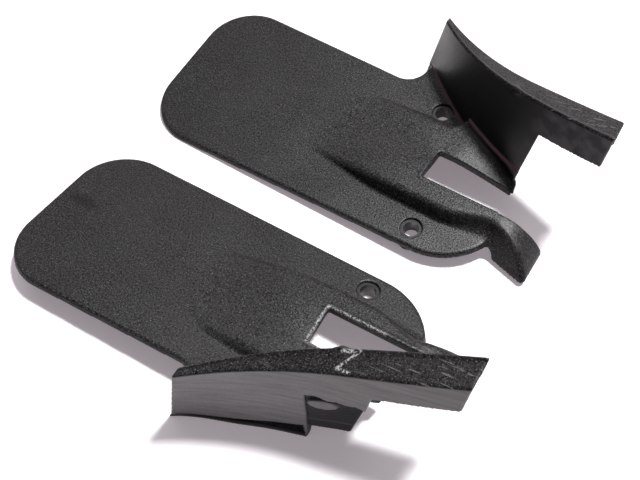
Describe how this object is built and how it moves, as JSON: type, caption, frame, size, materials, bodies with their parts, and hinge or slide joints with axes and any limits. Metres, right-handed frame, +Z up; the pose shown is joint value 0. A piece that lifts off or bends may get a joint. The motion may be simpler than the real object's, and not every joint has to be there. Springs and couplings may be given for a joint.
{
  "type": "skate blade guard pair",
  "caption": "Handed pair of moulded deflector guards: flat rounded paddle, raised forked bracket with an open slot, drooping toe and a tall curved vane.",
  "frame": {"origin": "on the floor under the middle of the pair's bounding box", "axes": "+X from the paddles' free ends towards the forks, +Y from the right guard to the left guard, +Z up from the floor that the pair rests on"},
  "size_m": [0.2468, 0.2498, 0.0888],
  "materials": {
    "guard_plastic": "fine spark-eroded grain on the flat faces, smooth satin on the vane",
    "sleeve": "smooth dark grey, semi-gloss"
  },
  "bodies": {
    "left_guard_body": {"left_guard": "guard_plastic", "left_toe_side_sleeve": "sleeve", "left_vane_side_sleeve": "sleeve"},
    "right_guard_body": {"right_guard": "guard_plastic", "right_toe_side_sleeve": "sleeve", "right_vane_side_sleeve": "sleeve"}
  },
  "joints": [
    {"name": "right_guard_lift", "type": "slide", "parent": "left_guard_body", "child": "right_guard_body", "axis": [0, 0, 1], "range_m": [0, 0.1]}
  ]
}
